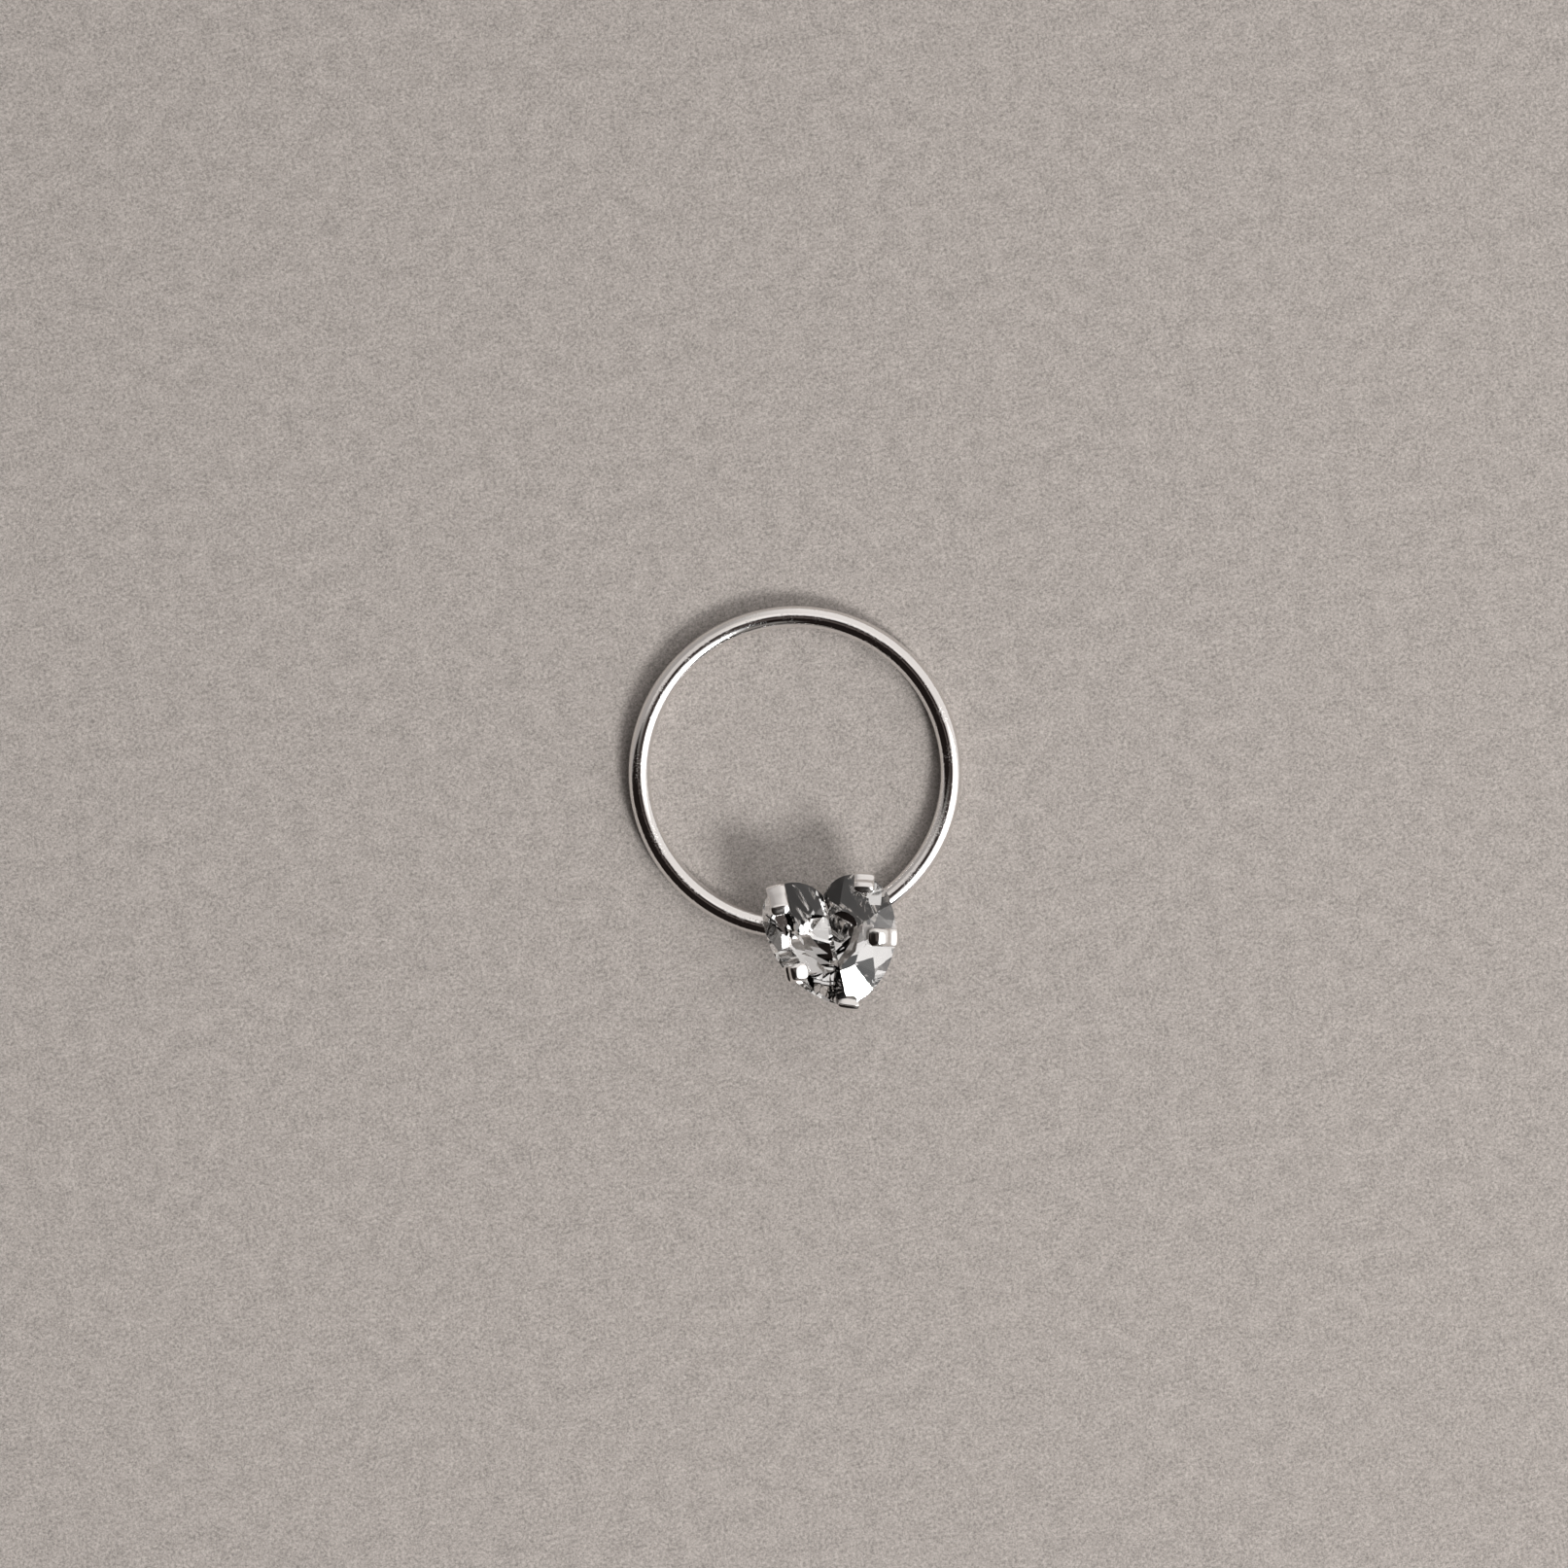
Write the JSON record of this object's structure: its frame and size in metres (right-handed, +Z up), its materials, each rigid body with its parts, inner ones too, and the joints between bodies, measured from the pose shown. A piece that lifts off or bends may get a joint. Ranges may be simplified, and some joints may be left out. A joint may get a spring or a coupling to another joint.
{
  "type": "piercing hoop",
  "caption": "Body-piercing hoop of round polished wire, closed by a claw setting that holds a clear heart-cut stone, lying on its side.",
  "frame": {"origin": "under the middle of the object's box, on the surface that the hoop lies on", "axes": "+Z up through the hoop, square to its plane; -Y from the hoop's middle towards the heart's tip; X along the barrel that closes the hoop"},
  "size_m": [0.0184, 0.0228, 0.0046],
  "materials": {
    "polished_steel": "polished, with fine wear scratches",
    "setting_steel": "polished, slightly worn on the claw tips",
    "clear_stone": "flat polished facets, colourless"
  },
  "bodies": {
    "root": {"hoop": "polished_steel", "setting": "setting_steel", "stone": "clear_stone"}
  },
  "joints": []
}
